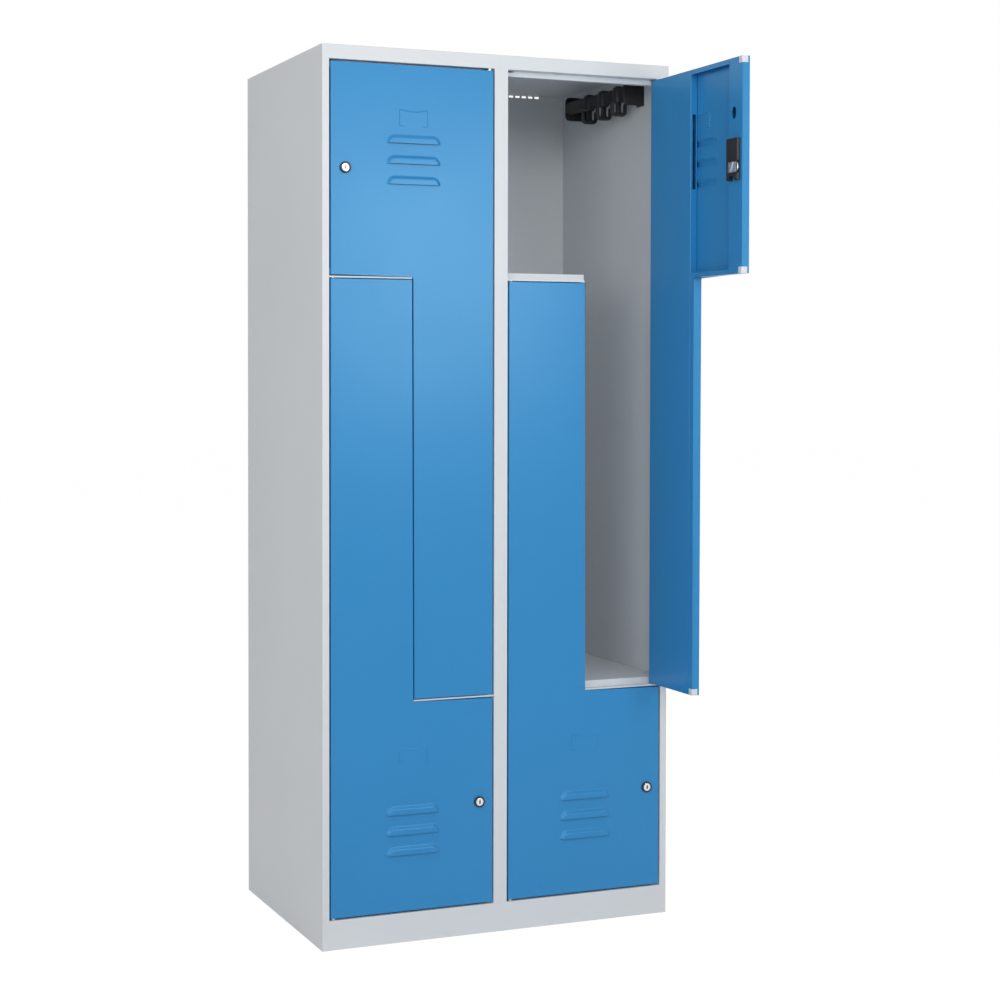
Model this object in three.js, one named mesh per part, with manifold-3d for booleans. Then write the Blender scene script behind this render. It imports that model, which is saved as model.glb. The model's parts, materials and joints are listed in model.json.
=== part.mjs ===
// Steel locker with two bays and four L-shaped doors that interlock in pairs.
// Millimetres, +Z up, front towards -Y, standing on Z = 0.
import * as THREE from 'three';
import { mergeVertices } from 'three/addons/utils/BufferGeometryUtils.js';
import Module from 'manifold-3d';

const wasm = await Module();
wasm.setup();

// Sheet steel, and the room left between neighbouring pieces
const sheet = 0.8;
const insideBend = 0.8;
const outsideBend = insideBend + sheet;
const clearance = 0.3;
const overrun = 6;

// Whole carcass
const locker = { width: 800, depth: 500, height: 1850, groundGap: 2, backFlange: 15 };

// Front frame: stiles, rails and the plane that the doors close against
const frame = {
  sideStile: 15.5,
  centreStile: 31,
  topRail: 29.5,
  plinth: 63,
  stopDepth: 20,
  sideLip: 10,
  centreLip: 12,
};

// Floor, plinth and the strip that stops the doors at the bottom
const base = { stopHeight: 14, bottomLip: 45 };

// Strip that stops the upper doors at the top
const topStop = { overlap: 11, flange: 15 };

// Wall between the two bays
const partition = { frontFlange: 8, backFlange: 14 };

// Row of ventilation slots under the roof, one row in each bay
const vent = { count: 16, length: 11.8, height: 4.6, pitch: 17, belowRoof: 1.2 };

// Levelling feet
const foot = { inset: 34, discRadius: 15, stemRadius: 4, stemHeight: 24, nutRadius: 7, nutHeight: 6 };

// Doors
const door = {
  thickness: 17.5,
  sideGap: 3,
  endGap: 4,
  seam: 3,
  crossSeam: 6.5,
  headHeight: 433.5,
  lip: 10,
  legLip: 13,
};

// Hinge pins: the axis lies this far in from the door's edge and behind its face
const hinge = { inset: 6.5, pinRadius: 2.5, collarRadius: 4.5, innerCollar: 2, shankLength: 22, tip: 0.8 };

// Box section behind the hinge edge, set back from the edge of the leg, with its ventilation slot
const hingeBox = { setback: 15, foot: 12, slotStart: 92, slotLength: 156, slotWidth: 8 };

// Channel behind the lock edge, with an oval access hole
const lockChannel = {
  width: 50,
  foot: 8,
  holeFromEdge: 31,
  holeFromEnd: 110.5,
  holeWidth: 15,
  holeLength: 24.3,
};

// Shelves and divider that part the upper from the lower compartment
const shelf = {
  stripHeight: 13.65,
  lipThickness: 3.2,
  lipSetback: 2.5,
  sideFlange: 12,
  dividerOffset: 5,
  dividerFlange: 12,
};

// Louvres
const louvre = {
  count: 3,
  width: 122,
  height: 18.3,
  proud: 5.5,
  band: 6.5,
  pitch: 42.1,
  upperFromEnd: 160.8,
  lowerFromEnd: 118.6,
};

// Pressed holder for a name card
const label = {
  width: 62,
  height: 33,
  line: 1.4,
  proud: 0.5,
  tab: 12,
  bow: 3,
  upperFromEnd: 108.5,
  lowerFromEnd: 324,
};

// Lock
const lock = {
  fromEdge: 31,
  fromEnd: 215,
  noseRadius: 9.6,
  noseProud: 4.4,
  collarRadius: 11.4,
  barrelRadius: 8.25,
  barrelRecess: 0.4,
  slotWidth: 1.8,
  slotLength: 7,
  slotDepth: 2,
  caseWidth: 39,
  caseFromEdge: 7,
  caseFromEnd: 162.5,
  caseHeight: 84,
  caseWall: 1.2,
  notchWidth: 16,
  notchHeight: 8,
};

// Sliding bolt that the turning barrel pushes out behind the stile
const bolt = {
  length: 36,
  height: 25,
  thickness: 3,
  offset: 5,
  play: 0.5,
  windowLength: 34,
  windowHeight: 21,
  tipSetback: 8,
  crankRadius: 9.9,
  crankPin: 2,
  crankRim: 1.5,
};

// Coat rail with three hooks
const coat = {
  below: 16.5,
  frontFromCentre: 144.5,
  backFromCentre: 140,
  plateWidth: 51,
  plateHeight: 54.5,
  plateThickness: 5,
  plateCorner: 11,
  wallPlateLength: 30,
  wallPlateThickness: 3,
  railWidth: 15,
  railHeight: 30,
  railFromWall: 43,
  hookCount: 3,
  firstHook: 105,
  hookPitch: 69,
  sleeveLength: 24,
  sleeveWidth: 24,
  sleeveHeight: 38,
  hookWidth: 38,
  hookThickness: 10,
  hookStem: 10,
  hookGap: 8.5,
  hookGapHeight: 21,
  hookFloor: 8,
  hookDrop: 29,
  hookCorner: 11,
  hookTip: 3,
};

// Fineness of the curved faces
const bendSteps = 3;
const hoodSteps = 2;
const arcSteps = 3;
const roundSides = 20;
const pinSides = 10;
const nutSides = 6;

// How far the open door stands at rest
const restOpening = Math.PI / 2;

// Places worked out from the sizes above
const front = -locker.depth / 2;
const rear = locker.depth / 2;
const stopPlane = front + frame.stopDepth;
const behindStop = stopPlane + sheet + clearance;
const openingBottom = frame.plinth;
const openingTop = locker.height - frame.topRail;
const openingWidth = (locker.width - 2 * frame.sideStile - frame.centreStile) / 2;
const bayCentre = (frame.centreStile + openingWidth) / 2;
const floorTop = openingBottom + base.stopHeight;
const roofUnderside = locker.height - sheet;
const backPanelRear = rear - sheet - clearance;
const innerRear = backPanelRear - sheet - clearance;
const innerSide = locker.width / 2 - sheet - clearance;
const openingEdge = locker.width / 2 - frame.sideStile;
const railEnd = openingEdge + outsideBend;
const doorWidth = openingWidth - 2 * door.sideGap;
const legWidth = (doorWidth - door.seam) / 2;
const doorHeight = openingTop - openingBottom - 2 * door.endGap - door.headHeight - door.crossSeam;
const upperDoorTop = openingTop - door.endGap;
const lowerDoorBottom = openingBottom + door.endGap;
const lipGap = (door.crossSeam - shelf.lipThickness) / 2;
const upperLipBottom = lowerDoorBottom + doorHeight + lipGap;
const lowerLipBottom = lowerDoorBottom + door.headHeight + lipGap;
const upperShelfTop = upperLipBottom + shelf.lipThickness + shelf.stripHeight;
const lowerShelfTop = lowerLipBottom + shelf.lipThickness + shelf.stripHeight;
const pinX = openingWidth / 2 - door.sideGap - hinge.inset;
const pinY = front + hinge.inset;
const pinHole = hinge.pinRadius + clearance;
const footX = locker.width / 2 - foot.inset;
const footRows = [front + foot.inset, rear - foot.inset];

// Materials
const paint = { greyPaint: 0xcfd3d6, bluePaint: 0x3f8fc8, blackPlastic: 0x1c1d1f, steel: 0xc4c7ca };
const roughness = { greyPaint: 0.45, bluePaint: 0.4, blackPlastic: 0.5, steel: 0.25 };

function material(kind) {
  const metalness = kind === 'steel' ? 1 : 0;
  return new THREE.MeshStandardMaterial({
    color: paint[kind],
    roughness: roughness[kind],
    metalness,
    flatShading: true,
  });
}

// Turns a closed geometry into a solid that can be joined and cut
function solid(geometry) {
  geometry.deleteAttribute('normal');
  geometry.deleteAttribute('uv');
  const merged = mergeVertices(geometry);
  const mesh = new wasm.Mesh({
    numProp: 3,
    vertProperties: new Float32Array(merged.attributes.position.array),
    triVerts: new Uint32Array(merged.index.array),
  });
  return new wasm.Manifold(mesh);
}

function piece(name, body, kind) {
  const mesh = body.getMesh();
  const geometry = new THREE.BufferGeometry();
  geometry.setAttribute('position', new THREE.BufferAttribute(mesh.vertProperties, 3));
  geometry.setIndex(new THREE.BufferAttribute(mesh.triVerts, 1));
  const result = new THREE.Mesh(geometry, material(kind));
  result.name = name;
  return result;
}

function join(solids) {
  return solids.reduce((whole, next) => whole.add(next));
}

// Box between two places on each axis, given in either order
function block([x0, x1], [y0, y1], [z0, z1]) {
  const box = new THREE.BoxGeometry(Math.abs(x1 - x0), Math.abs(y1 - y0), Math.abs(z1 - z0));
  box.translate((x0 + x1) / 2, (y0 + y1) / 2, (z0 + z1) / 2);
  return solid(box);
}

// Cylinder along an axis, round the point that the other two coordinates give.
// It is a cone where its low end has another radius.
function cylinder(radius, axis, [from, to], [a, b], sides = roundSides, lowRadius = radius) {
  const round = new THREE.CylinderGeometry(radius, lowRadius, Math.abs(to - from), sides);
  const middle = (from + to) / 2;
  if (axis === 'z') {
    round.rotateX(Math.PI / 2);
    round.translate(a, b, middle);
  } else {
    round.translate(a, middle, b);
  }
  return solid(round);
}

// Outline drawn in the plane across an axis and pushed along it
function prism(shape, axis, [from, to], bevel = {}) {
  const { size = 0, thickness = 0, steps = 1 } = bevel;
  const low = Math.min(from, to);
  const high = Math.max(from, to);
  const geometry = new THREE.ExtrudeGeometry(shape, {
    depth: high - low - 2 * thickness,
    curveSegments: arcSteps,
    bevelEnabled: size > 0,
    bevelSize: size,
    bevelThickness: thickness,
    bevelOffset: -size,
    bevelSegments: steps,
  });
  geometry.translate(0, 0, thickness);
  const x = new THREE.Vector3(1, 0, 0);
  const y = new THREE.Vector3(0, 1, 0);
  const z = new THREE.Vector3(0, 0, 1);
  const turn = new THREE.Matrix4();
  if (axis === 'x') turn.makeBasis(y, z, x).setPosition(low, 0, 0);
  if (axis === 'y') turn.makeBasis(x, z, y.negate()).setPosition(0, high, 0);
  if (axis === 'z') turn.setPosition(0, 0, low);
  geometry.applyMatrix4(turn);
  return solid(geometry);
}

// Section of a folded sheet. The path follows one face, the sheet lies to its left.
function folded(path) {
  const points = path.map(([a, b]) => new THREE.Vector2(a, b));
  const leftOf = (direction) => new THREE.Vector2(-direction.y, direction.x);
  const face = [points[0]];
  const firstRun = points[1].clone().sub(points[0]).normalize();
  const opposite = [points[0].clone().addScaledVector(leftOf(firstRun), sheet)];
  for (let i = 1; i < points.length - 1; i += 1) {
    const into = points[i].clone().sub(points[i - 1]).normalize();
    const out = points[i + 1].clone().sub(points[i]).normalize();
    const side = Math.sign(into.cross(out));
    const faceRadius = side > 0 ? outsideBend : insideBend;
    const oppositeRadius = side > 0 ? insideBend : outsideBend;
    const angle = Math.acos(into.dot(out));
    const tangent = points[i].clone().addScaledVector(into, -faceRadius * Math.tan(angle / 2));
    const centre = tangent.clone().addScaledVector(leftOf(into), side * faceRadius);
    for (let step = 0; step <= bendSteps; step += 1) {
      const arm = leftOf(into).multiplyScalar(-side);
      arm.rotateAround(new THREE.Vector2(), side * angle * step / bendSteps);
      face.push(centre.clone().addScaledVector(arm, faceRadius));
      opposite.push(centre.clone().addScaledVector(arm, oppositeRadius));
    }
  }
  const last = points[points.length - 1];
  const lastRun = last.clone().sub(points[points.length - 2]).normalize();
  face.push(last);
  opposite.push(last.clone().addScaledVector(leftOf(lastRun), sheet));
  return new THREE.Shape([...face, ...opposite.reverse()]);
}

// Slot with round ends, long along the first coordinate
function stadium(length, height, [a, b] = [0, 0]) {
  const radius = height / 2;
  const reach = length / 2 - radius;
  const shape = new THREE.Shape();
  shape.absarc(a + reach, b, radius, -Math.PI / 2, Math.PI / 2, false);
  shape.absarc(a - reach, b, radius, Math.PI / 2, 3 * Math.PI / 2, false);
  return shape;
}

// Same slot, long along the second coordinate
function standingStadium(length, height, [a, b]) {
  const radius = height / 2;
  const reach = length / 2 - radius;
  const shape = new THREE.Shape();
  shape.absarc(a, b + reach, radius, 0, Math.PI, false);
  shape.absarc(a, b - reach, radius, Math.PI, 2 * Math.PI, false);
  return shape;
}

// Side panel: wall, back flange and hollow front stile in one folded sheet.
// Beside the rails the return of the stile is cut away, so that they meet its flat face.
function sidePanel(name, side) {
  const opening = side * openingEdge;
  const wall = side * locker.width / 2;
  const path = [
    [wall - side * locker.backFlange, rear],
    [wall, rear],
    [wall, front],
    [opening, front],
    [opening, stopPlane],
    [opening + side * frame.sideLip, stopPlane],
  ];
  if (side > 0) path.reverse();
  const past = opening - side * overrun;
  const behindLip = opening + side * (frame.sideLip + clearance);
  const behindFace = front + outsideBend;
  const under = locker.groundGap - overrun;
  const over = locker.height + overrun;
  const cuts = join([
    block([side * railEnd, past], [front - overrun, behindFace], [under, openingBottom]),
    block([side * railEnd, past], [front - overrun, behindFace], [openingTop, over]),
    block([behindLip, past], [behindFace, stopPlane + overrun], [under, openingBottom]),
    block([behindLip, past], [behindFace, stopPlane + overrun], [openingTop, over]),
    block([behindLip, past], [stopPlane - outsideBend, stopPlane + overrun],
      [under, floorTop + clearance]),
  ]);
  const body = prism(folded(path), 'z', [locker.groundGap, locker.height]).subtract(cuts);
  return piece(name, body, 'greyPaint');
}

// Centre stile: a C section that stands between the rails
function centreStile() {
  const half = frame.centreStile / 2;
  const path = [
    [-half + frame.centreLip, stopPlane],
    [-half, stopPlane],
    [-half, front],
    [half, front],
    [half, stopPlane],
    [half - frame.centreLip, stopPlane],
  ];
  const foot = block([-half - overrun, half + overrun], [stopPlane - outsideBend, stopPlane + overrun],
    [openingBottom - overrun, floorTop + clearance]);
  const body = prism(folded(path), 'z', [openingBottom, openingTop]).subtract(foot);
  return piece('centre_stile', body, 'greyPaint');
}

// Wall between the bays, with a flange behind the centre stile and one on the back panel
function centrePartition() {
  const face = -sheet / 2;
  const path = [
    [face + partition.backFlange, innerRear],
    [face, innerRear],
    [face, behindStop],
    [face + partition.frontFlange, behindStop],
  ];
  return piece('centre_partition', prism(folded(path), 'z', [floorTop, roofUnderside]), 'greyPaint');
}

// Roof: plate, top rail with its return, and a flange inside each side panel
function roofPanel() {
  const path = [
    [innerRear, locker.height],
    [front, locker.height],
    [front, openingTop],
    [stopPlane, openingTop],
  ];
  const plate = block([-innerSide, innerSide], [front + sheet + clearance, innerRear],
    [roofUnderside, locker.height]);
  const flanges = [-1, 1].map((side) => block([side * innerSide, side * (innerSide - sheet)],
    [behindStop, innerRear], [locker.height - locker.backFlange, locker.height]));
  const pins = [-1, 1].map((side) => cylinder(pinHole, 'z', [openingTop - overrun, openingTop + overrun],
    [side * bayCentre + pinX, pinY]));
  const body = join([prism(folded(path), 'x', [-railEnd, railEnd]), plate, ...flanges]);
  return piece('roof_panel', body.subtract(join(pins)), 'greyPaint');
}

// Base: plinth with its bottom lip and return, stop strip, floor, and a leg down the back
function basePanel() {
  const bottom = locker.groundGap;
  const path = [
    [innerRear, floorTop],
    [stopPlane, floorTop],
    [stopPlane, openingBottom],
    [front, openingBottom],
    [front, bottom],
    [front + base.bottomLip, bottom],
  ];
  const backPath = [
    [innerRear - base.bottomLip, bottom],
    [innerRear, bottom],
    [innerRear, floorTop],
    [innerRear - base.bottomLip, floorTop],
  ];
  const floor = block([-innerSide, innerSide], [behindStop, innerRear - outsideBend],
    [floorTop - sheet, floorTop]);
  const holes = [];
  for (const side of [-1, 1]) {
    const x = side * bayCentre - pinX;
    holes.push(cylinder(pinHole, 'z', [openingBottom - overrun, openingBottom + overrun], [x, pinY]));
    for (const y of footRows) {
      holes.push(cylinder(foot.stemRadius + clearance, 'z', [bottom - overrun, bottom + overrun],
        [side * footX, y]));
    }
  }
  const body = join([
    prism(folded(path), 'x', [-railEnd, railEnd]),
    prism(folded(backPath), 'x', [-innerSide, innerSide]),
    floor,
  ]);
  return piece('base_panel', body.subtract(join(holes)), 'greyPaint');
}

// Back panel with a row of ventilation slots under the roof in each bay
function backPanel() {
  const panel = block([-innerSide, innerSide], [backPanelRear - sheet, backPanelRear],
    [locker.groundGap, locker.height]);
  const slots = [];
  const z = roofUnderside - vent.belowRoof - vent.height / 2;
  for (const side of [-1, 1]) {
    for (let i = 0; i < vent.count; i += 1) {
      const x = side * bayCentre + (i - (vent.count - 1) / 2) * vent.pitch;
      slots.push(block([x - vent.length / 2, x + vent.length / 2],
        [backPanelRear - sheet - overrun, backPanelRear + overrun],
        [z - vent.height / 2, z + vent.height / 2]));
    }
  }
  return piece('back_panel', panel.subtract(join(slots)), 'greyPaint');
}

// Angle under the roof that the top edge of an upper door closes against
function topStopStrip(name, side) {
  const half = openingWidth / 2 - clearance;
  const face = stopPlane + clearance;
  const path = [
    [face + topStop.flange, roofUnderside - clearance],
    [face, roofUnderside - clearance],
    [face, openingTop - topStop.overlap],
  ];
  const centre = side * bayCentre;
  return piece(name, prism(folded(path), 'x', [centre - half, centre + half]), 'greyPaint');
}

// Inner faces of the two walls of a bay
function bayWalls(side) {
  const inner = sheet / 2;
  const outer = locker.width / 2 - sheet;
  return side > 0 ? [inner, outer] : [-outer, -inner];
}

// One shelf of a bay. Its strip stops the doors, and its thick lip carries a pin of each door.
// The shelf runs from the wall on the given hand (-1 left, 1 right) to the divider.
function halfShelf(name, side, hand, lipBottom, top) {
  const centre = side * bayCentre;
  const [leftWall, rightWall] = bayWalls(side);
  const wall = hand < 0 ? leftWall + clearance : rightWall - clearance;
  const web = centre + shelf.dividerOffset;
  const far = hand < 0 ? web + sheet : web;
  const lipStart = centre + hand * (openingWidth / 2 - clearance);
  const lipEnd = centre + hand * door.seam / 2;
  const lipTop = lipBottom + shelf.lipThickness;
  const deep = [behindStop + sheet + clearance, innerRear - sheet - clearance];
  const body = join([
    block([lipStart, lipEnd], [front + shelf.lipSetback, stopPlane + sheet], [lipBottom, lipTop]),
    block([lipStart, lipEnd], [stopPlane, stopPlane + sheet], [lipBottom, top]),
    block([lipStart, lipEnd], [stopPlane, behindStop + overrun], [top - sheet, top]),
    block([wall, far], deep, [top - sheet, top]),
    block([wall, wall - hand * sheet], deep, [top - shelf.sideFlange, top]),
  ]);
  const pin = cylinder(pinHole, 'z', [lipBottom - overrun, lipTop + overrun], [centre + hand * pinX, pinY]);
  return piece(name, body.subtract(pin), 'greyPaint');
}

// Upright between the two shelves, with a flange at the front and at the back
function divider(name, side) {
  const web = side * bayCentre + shelf.dividerOffset;
  const path = [
    [web + sheet - shelf.dividerFlange, behindStop],
    [web + sheet, behindStop],
    [web + sheet, innerRear],
    [web + sheet - shelf.dividerFlange, innerRear],
  ];
  return piece(name, prism(folded(path), 'z', [lowerShelfTop, upperShelfTop - sheet]), 'greyPaint');
}

// Levelling foot: disc on the ground, stem through the bottom lip, and its nut above the lip
function levellingFoot(name, x, y) {
  const nutBottom = locker.groundGap + sheet + clearance;
  const body = join([
    cylinder(foot.discRadius, 'z', [0, locker.groundGap - clearance], [x, y]),
    cylinder(foot.stemRadius, 'z', [0, foot.stemHeight], [x, y], pinSides),
    cylinder(foot.nutRadius, 'z', [nutBottom, nutBottom + foot.nutHeight], [x, y], nutSides),
  ]);
  return piece(name, body, 'blackPlastic');
}

// Outline of a double hook that hangs from the given height, round one stem
function hookOutline(x, top) {
  const bottom = top - coat.hookDrop;
  const gapBottom = bottom + coat.hookFloor;
  const tipTop = gapBottom + coat.hookGapHeight;
  const stem = coat.hookStem / 2;
  const half = coat.hookWidth / 2;
  const corner = coat.hookCorner;
  const gapRadius = coat.hookGap / 2;
  const shape = new THREE.Shape();
  shape.moveTo(x + stem, top + sheet);
  shape.lineTo(x - stem, top + sheet);
  shape.absarc(x - stem - gapRadius, gapBottom + gapRadius, gapRadius, 0, -Math.PI, true);
  shape.lineTo(x - stem - coat.hookGap, tipTop);
  shape.lineTo(x - half, tipTop - coat.hookTip);
  shape.absarc(x - half + corner, bottom + corner, corner, Math.PI, 3 * Math.PI / 2, false);
  shape.absarc(x + half - corner, bottom + corner, corner, -Math.PI / 2, 0, false);
  shape.lineTo(x + half, tipTop - coat.hookTip);
  shape.lineTo(x + stem + coat.hookGap, tipTop);
  shape.absarc(x + stem + gapRadius, gapBottom + gapRadius, gapRadius, 0, -Math.PI, true);
  return shape;
}

// End plate of the coat rail, with two round corners on the side away from the wall
function endPlateOutline(wall, away, top) {
  const near = wall + away * clearance;
  const far = wall + away * coat.plateWidth;
  const bottom = top - coat.plateHeight;
  const turn = away * coat.plateCorner;
  const shape = new THREE.Shape();
  shape.moveTo(near, bottom);
  shape.lineTo(far - turn, bottom);
  shape.quadraticCurveTo(far, bottom, far, bottom + coat.plateCorner);
  shape.lineTo(far, top - coat.plateCorner);
  shape.quadraticCurveTo(far, top, far - turn, top);
  shape.lineTo(near, top);
  return shape;
}

// Coat rail on a wall, with its two end plates and three double hooks moulded on
function coatRail(name, wall, away, ceiling) {
  const top = ceiling - coat.below;
  const middle = top - coat.plateHeight / 2;
  const x = wall + away * coat.railFromWall;
  const frontEnd = -coat.frontFromCentre;
  const backEnd = coat.backFromCentre;
  const parts = [
    prism(standingStadium(coat.railHeight, coat.railWidth, [x, middle]), 'y', [frontEnd, backEnd]),
  ];
  for (const [start, inward] of [[frontEnd, 1], [backEnd, -1]]) {
    parts.push(prism(endPlateOutline(wall, away, top), 'y', [start, start + inward * coat.plateThickness]));
    parts.push(block([wall + away * clearance, wall + away * (clearance + coat.wallPlateThickness)],
      [start, start + inward * coat.wallPlateLength], [top - coat.plateHeight, top]));
  }
  for (let i = 0; i < coat.hookCount; i += 1) {
    const y = i * coat.hookPitch - coat.firstHook;
    const sleeveBottom = middle - coat.sleeveHeight / 2;
    parts.push(block([x - coat.sleeveWidth / 2, x + coat.sleeveWidth / 2],
      [y - coat.sleeveLength / 2, y + coat.sleeveLength / 2],
      [sleeveBottom, sleeveBottom + coat.sleeveHeight]));
    parts.push(prism(hookOutline(x, sleeveBottom), 'y',
      [y - coat.hookThickness / 2, y + coat.hookThickness / 2]));
  }
  return piece(name, join(parts), 'blackPlastic');
}

// Doors are built round their hinge axis: X from the hinge to the lock edge, front at -Y,
// Z from the end of the wide head towards the end of the leg.
const hingeEdge = -hinge.inset;
const lockEdge = doorWidth - hinge.inset;
const legEdge = legWidth - hinge.inset;
const doorFace = -hinge.inset;
const doorBack = door.thickness - hinge.inset;
const skinBack = doorFace + sheet;
const flangeInner = hingeEdge + sheet + clearance;

// L-shaped outline of a door, drawn in by a margin all round
function doorOutline(margin) {
  const shape = new THREE.Shape();
  shape.moveTo(hingeEdge + margin, margin);
  shape.lineTo(lockEdge - margin, margin);
  shape.lineTo(lockEdge - margin, door.headHeight - margin);
  shape.lineTo(legEdge - margin, door.headHeight - margin);
  shape.lineTo(legEdge - margin, doorHeight - margin);
  shape.lineTo(hingeEdge + margin, doorHeight - margin);
  return shape;
}

// One louvre hood as the steel round it and the air inside it, open towards its lower edge
function louvreHood(edge, up) {
  const centre = (lockEdge + hingeEdge) / 2;
  const flare = { size: louvre.band, thickness: louvre.proud, steps: hoodSteps };
  const hoodFace = doorFace - louvre.proud;
  const wide = [centre - louvre.width, centre + louvre.width];
  const upSide = [edge, edge + up * louvre.width];
  const shell = prism(stadium(louvre.width, 2 * louvre.height, [centre, edge]), 'y',
    [hoodFace, skinBack + louvre.proud], flare);
  const steel = shell.intersect(block(wide, [hoodFace - overrun, doorFace + sheet / 2], upSide));
  const inner = prism(stadium(louvre.width - 2 * sheet, 2 * (louvre.height - sheet), [centre, edge]), 'y',
    [hoodFace + sheet, skinBack + 2 * louvre.proud], flare);
  const downSide = [edge - up * louvre.width, edge];
  const air = inner.subtract(block(wide, [doorFace, doorBack], downSide));
  return { steel, air };
}

// Raised lines of the name card holder
function labelLines(centreZ, up) {
  const x = (lockEdge + hingeEdge) / 2;
  const depth = [doorFace - label.proud, doorFace + sheet / 2];
  const lines = [];
  for (const side of [-1, 1]) {
    const outer = x + side * label.width / 2;
    lines.push(block([outer, outer - side * label.line], depth,
      [centreZ - label.height / 2, centreZ + label.height / 2]));
    for (const end of [-1, 1]) {
      const edge = centreZ + end * label.height / 2;
      lines.push(block([outer, outer - side * label.tab], depth, [edge, edge - end * label.line]));
    }
  }
  const bow = centreZ + up * (label.height / 2 - label.bow);
  lines.push(block([x - label.width / 2 + label.tab, x + label.width / 2 - label.tab], depth,
    [bow, bow - up * label.line]));
  return lines;
}

// Skin of a door with its flanges and lips, in two pans that are welded edge to edge: a wide head
// with louvres, card holder and the holes for lock and pin, and a narrow leg
function doorPans(prefix, up, louvreFromEnd, labelFromEnd) {
  const hollowEnd = [sheet, doorHeight - sheet];
  const backCut = [doorBack - sheet - overrun, doorBack + overrun];
  const outer = prism(doorOutline(0), 'y', [doorFace, doorBack + 2 * overrun],
    { size: outsideBend, thickness: outsideBend, steps: bendSteps });
  const trimmed = outer.intersect(block([hingeEdge - overrun, lockEdge + overrun],
    [doorFace - overrun, doorBack], [-overrun, doorHeight + overrun]));
  const hollow = prism(doorOutline(sheet), 'y', [skinBack, doorBack - sheet]);
  const boxEdge = legEdge - hingeBox.setback;
  const channelEdge = lockEdge - lockChannel.width;
  const openings = join([
    block([hingeEdge + sheet, boxEdge + clearance], backCut, [sheet, door.headHeight - sheet]),
    block([hingeEdge + sheet, legEdge - door.legLip], backCut, hollowEnd),
    block([boxEdge, channelEdge], backCut, [door.lip, door.headHeight - door.lip]),
    block([channelEdge - clearance, lockEdge - sheet], backCut, [sheet, door.headHeight - sheet]),
  ]);
  const hoods = [];
  for (let i = 0; i < louvre.count; i += 1) {
    hoods.push(louvreHood(louvreFromEnd + i * louvre.pitch, up));
  }
  const nose = cylinder(lock.noseRadius + clearance, 'y', [doorFace - overrun, skinBack + overrun],
    [lockEdge - lock.fromEdge, lock.fromEnd]);
  const pins = [[-overrun, overrun], [doorHeight - overrun, doorHeight + overrun]]
    .map((reach) => cylinder(pinHole, 'z', reach, [0, 0]));
  const body = trimmed
    .subtract(hollow)
    .subtract(openings)
    .add(join([...labelLines(labelFromEnd, up), ...hoods.map((hood) => hood.steel)]))
    .subtract(join([...hoods.map((hood) => hood.air), nose, ...pins]));
  const across = [hingeEdge - overrun, lockEdge + overrun];
  const deep = [doorFace - louvre.proud - overrun, doorBack + overrun];
  const head = block(across, deep, [-overrun, door.headHeight]);
  const leg = block(across, deep, [door.headHeight + clearance, doorHeight + overrun]);
  return [
    piece(`${prefix}_head_pan`, body.intersect(head), 'bluePaint'),
    piece(`${prefix}_leg_pan`, body.intersect(leg), 'bluePaint'),
  ];
}

// Box section behind the hinge edge, over the whole height of the door
function hingeStiffener(name) {
  const step = legEdge - hingeBox.setback;
  const path = [
    [step - hingeBox.foot, skinBack + clearance],
    [step, skinBack + clearance],
    [step, doorBack],
    [flangeInner, doorBack],
  ];
  const ends = sheet + clearance;
  const slot = block([step - overrun, step + overrun],
    [(doorBack + doorFace - hingeBox.slotWidth) / 2, (doorBack + doorFace + hingeBox.slotWidth) / 2],
    [hingeBox.slotStart, hingeBox.slotStart + hingeBox.slotLength]);
  return piece(name, prism(folded(path), 'z', [ends, doorHeight - ends]).subtract(slot), 'bluePaint');
}

// Channel behind the lock edge of the head, with the holes for the lock and for access
function lockStiffener(name) {
  const step = lockEdge - lockChannel.width;
  const path = [
    [lockEdge - sheet - clearance, doorBack],
    [step, doorBack],
    [step, skinBack + clearance],
    [step + lockChannel.foot, skinBack + clearance],
  ];
  const ends = sheet + clearance;
  const through = [doorBack - sheet - overrun, doorBack + overrun];
  const holes = join([
    prism(standingStadium(lockChannel.holeLength, lockChannel.holeWidth,
      [lockEdge - lockChannel.holeFromEdge, lockChannel.holeFromEnd]), 'y', through),
    cylinder(lock.noseRadius + clearance, 'y', through, [lockEdge - lock.fromEdge, lock.fromEnd]),
  ]);
  const body = prism(folded(path), 'z', [ends, door.headHeight - ends]).subtract(holes);
  return piece(name, body, 'bluePaint');
}

// Depths inside the lock, from the back of the door to the cover over the bolt
const lockX = lockEdge - lock.fromEdge;
const noseFace = doorFace - lock.noseProud;
const caseFront = doorBack + clearance;
const cavityFront = caseFront + lock.caseWall;
const boltFront = doorFace + frame.stopDepth + sheet + bolt.play;
const boltRear = boltFront + bolt.thickness;
const cavityRear = boltRear + clearance;
const caseRear = cavityRear + lock.caseWall;
const caseX = [lockEdge - lock.caseFromEdge - lock.caseWidth, lockEdge - lock.caseFromEdge];
const boltX = [lockEdge - bolt.tipSetback - bolt.length, lockEdge - bolt.tipSetback];
const boltMiddle = lock.fromEnd + bolt.offset;
const boltZ = [boltMiddle - bolt.height / 2, boltMiddle + bolt.height / 2];
const crankDisc = bolt.crankRadius + bolt.crankPin + bolt.crankRim;
const crankThrow = bolt.crankRadius * Math.SQRT1_2;

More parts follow.
